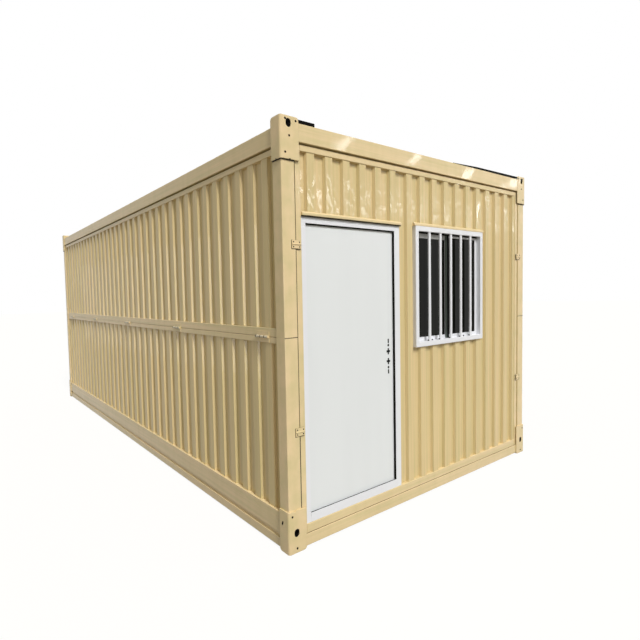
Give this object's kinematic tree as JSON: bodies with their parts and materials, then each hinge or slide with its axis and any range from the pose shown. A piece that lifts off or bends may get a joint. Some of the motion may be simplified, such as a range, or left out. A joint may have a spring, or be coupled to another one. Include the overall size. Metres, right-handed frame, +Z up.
{
  "type": "folding container house",
  "caption": "Cream steel folding house: corrugated side walls hinged at mid height, corner fittings, a grey-white door and a barred window in the end wall.",
  "frame": {"origin": "centre of the footprint on the ground", "axes": "+X to the right seen from the front, +Y from the front with the door to the rear, +Z up"},
  "size_m": [2.99, 5.9, 2.68],
  "materials": {
    "cream_paint": "gloss",
    "white_paint": "satin",
    "base_steel": "matt",
    "hinge_steel": "satin",
    "floor_board": "matt",
    "lining_board": "matt",
    "rubber": "matt",
    "glass": "gloss"
  },
  "bodies": {
    "house": {"bottom_corner_fittings": "cream_paint", "top_corner_fittings": "cream_paint", "bottom_side_beams": "cream_paint", "bottom_end_beams": "cream_paint", "floor_joists": "base_steel", "floor_panel": "floor_board", "top_side_beams": "cream_paint", "top_end_beams": "cream_paint", "roof_sheet": "cream_paint", "roof_edge_seals": "rubber", "ceiling_panel": "lining_board", "lower_posts": "cream_paint", "upper_posts": "cream_paint", "left_lower_rails": "cream_paint", "left_lower_sheet": "cream_paint", "left_lower_lining": "lining_board", "left_upper_rails": "cream_paint", "left_upper_sheet": "cream_paint", "left_upper_lining": "lining_board", "left_fold_hinges": "cream_paint", "right_lower_rails": "cream_paint", "right_lower_sheet": "cream_paint", "right_lower_lining": "lining_board", "right_upper_rails": "cream_paint", "right_upper_sheet": "cream_paint", "right_upper_lining": "lining_board", "right_fold_hinges": "cream_paint", "end_wall_stiles": "cream_paint", "end_wall_rails": "cream_paint", "front_sheet_over_door": "cream_paint", "front_sheet_beside_door": "cream_paint", "front_lining_over_door": "lining_board", "front_lining_beside_door": "lining_board", "rear_sheet": "cream_paint", "rear_lining": "lining_board", "wall_latches": "cream_paint", "door_frame": "white_paint", "door_gasket": "rubber", "door_frame_hinges": "hinge_steel", "window_frame": "white_paint", "window_sashes": "white_paint", "window_glass": "glass", "drip_caps": "cream_paint"},
    "door": {"door_leaf": "white_paint", "door_leaf_hinges": "hinge_steel"}
  },
  "joints": [
    {"name": "door_swing", "type": "hinge", "parent": "house", "child": "door", "pos_m": [-1.3115, -2.846, 1.122], "axis": [0, 0, 1], "range_deg": [0, 90]}
  ]
}
